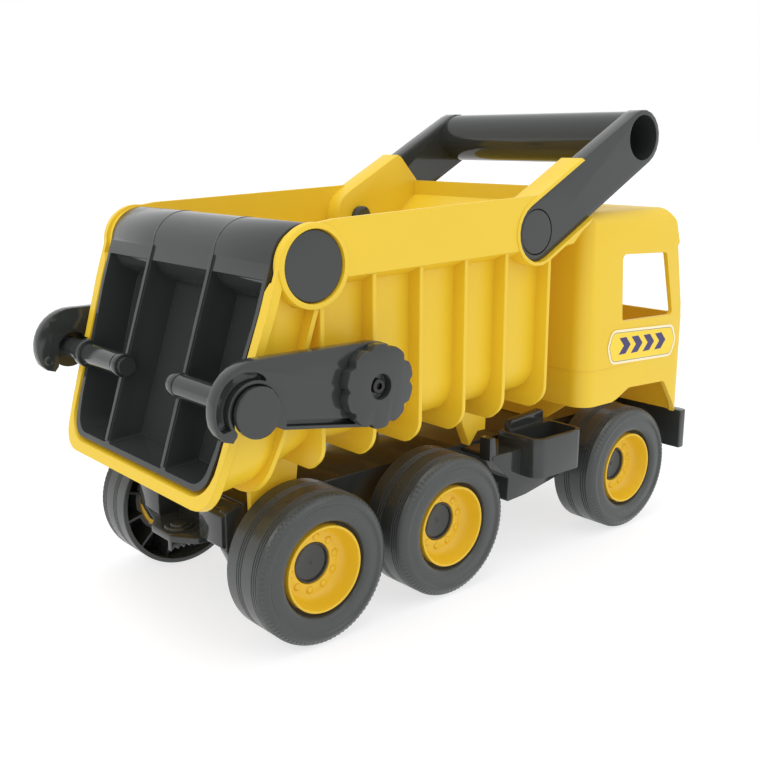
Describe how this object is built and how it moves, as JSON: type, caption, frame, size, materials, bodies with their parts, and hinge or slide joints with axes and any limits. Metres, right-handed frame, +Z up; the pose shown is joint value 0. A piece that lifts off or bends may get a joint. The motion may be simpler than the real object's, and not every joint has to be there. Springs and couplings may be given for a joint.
{
  "type": "toy dump truck",
  "caption": "Moulded plastic toy dump truck with a tipping ribbed tub, a latched tailgate, a cab, a carrying handle and wheels that roll",
  "frame": {"origin": "middle of the bounding box in X and Y, on the floor under the tyres", "axes": "+X forwards to the bumper, +Y to the truck's left, +Z up"},
  "size_m": [0.381, 0.2048, 0.2664],
  "materials": {
    "tyre": "black moulded plastic, satin",
    "rim_plastic": "warm yellow moulded plastic, satin",
    "steel": "plain steel rod and screws",
    "yellow_plastic": "yellow moulded plastic, semi-gloss",
    "label_film": "printed film, blank",
    "black_plastic": "black moulded plastic, gloss"
  },
  "bodies": {
    "chassis": {"chassis": "black_plastic", "hitch_catch": "black_plastic", "axle_front": "steel", "axle_middle": "steel", "axle_rear": "steel", "tub_pivot_pin": "steel", "cab_shell": "yellow_plastic", "door_label_left": "label_film", "door_label_right": "label_film", "cab_screw_front": "steel", "cab_screw_rear": "steel"},
    "tub": {"tub": "yellow_plastic", "handle": "black_plastic", "handle_plug_left": "black_plastic", "handle_plug_right": "black_plastic", "latch_screw_left": "steel", "latch_screw_right": "steel"},
    "tailgate": {"tailgate": "black_plastic", "hinge_cap_left": "black_plastic", "hinge_cap_right": "black_plastic", "tailgate_peg_left": "black_plastic", "tailgate_peg_right": "black_plastic"},
    "latch_left": {"latch_arm_left": "black_plastic", "latch_knob_left": "black_plastic"},
    "latch_right": {"latch_arm_right": "black_plastic", "latch_knob_right": "black_plastic"},
    "wheel_rear_left": {"tyre_rear_left": "tyre", "rim_rear_left": "rim_plastic", "hub_cap_rear_left": "black_plastic"},
    "wheel_rear_right": {"tyre_rear_right": "tyre", "rim_rear_right": "rim_plastic", "hub_cap_rear_right": "black_plastic"},
    "wheel_middle_left": {"tyre_middle_left": "tyre", "rim_middle_left": "rim_plastic", "hub_cap_middle_left": "black_plastic"},
    "wheel_middle_right": {"tyre_middle_right": "tyre", "rim_middle_right": "rim_plastic", "hub_cap_middle_right": "black_plastic"},
    "wheel_front_left": {"tyre_front_left": "tyre", "rim_front_left": "rim_plastic", "hub_cap_front_left": "black_plastic"},
    "wheel_front_right": {"tyre_front_right": "tyre", "rim_front_right": "rim_plastic", "hub_cap_front_right": "black_plastic"}
  },
  "joints": [
    {"name": "tub_tip", "type": "hinge", "parent": "chassis", "child": "tub", "pos_m": [-0.1314, 0, 0.058], "axis": [0, -1, 0], "range_deg": [0, 45]},
    {"name": "tailgate_swing", "type": "hinge", "parent": "tub", "child": "tailgate", "pos_m": [-0.1278, 0, 0.1925], "axis": [0, 1, 0], "range_deg": [0, 60]},
    {"name": "latch_turn_left", "type": "hinge", "parent": "tub", "child": "latch_left", "pos_m": [-0.1014, 0, 0.1345], "axis": [0, 1, 0], "range_deg": [0, 180]},
    {"name": "latch_turn_right", "type": "hinge", "parent": "tub", "child": "latch_right", "pos_m": [-0.1014, 0, 0.1345], "axis": [0, 1, 0], "range_deg": [0, 180]},
    {"name": "wheel_spin_rear_left", "type": "hinge", "parent": "chassis", "child": "wheel_rear_left", "pos_m": [-0.1214, 0, 0.04], "axis": [0, 1, 0], "continuous": true},
    {"name": "wheel_spin_rear_right", "type": "hinge", "parent": "chassis", "child": "wheel_rear_right", "pos_m": [-0.1214, 0, 0.04], "axis": [0, 1, 0], "continuous": true},
    {"name": "wheel_spin_middle_left", "type": "hinge", "parent": "chassis", "child": "wheel_middle_left", "pos_m": [-0.03225, 0, 0.04], "axis": [0, 1, 0], "continuous": true},
    {"name": "wheel_spin_middle_right", "type": "hinge", "parent": "chassis", "child": "wheel_middle_right", "pos_m": [-0.03225, 0, 0.04], "axis": [0, 1, 0], "continuous": true},
    {"name": "wheel_spin_front_left", "type": "hinge", "parent": "chassis", "child": "wheel_front_left", "pos_m": [0.12755, 0, 0.04], "axis": [0, 1, 0], "continuous": true},
    {"name": "wheel_spin_front_right", "type": "hinge", "parent": "chassis", "child": "wheel_front_right", "pos_m": [0.12755, 0, 0.04], "axis": [0, 1, 0], "continuous": true}
  ],
  "couplings": [
    {"joint": "latch_turn_left", "follows": "tailgate_swing", "ratio": 3},
    {"joint": "latch_turn_right", "follows": "tailgate_swing", "ratio": 3}
  ]
}
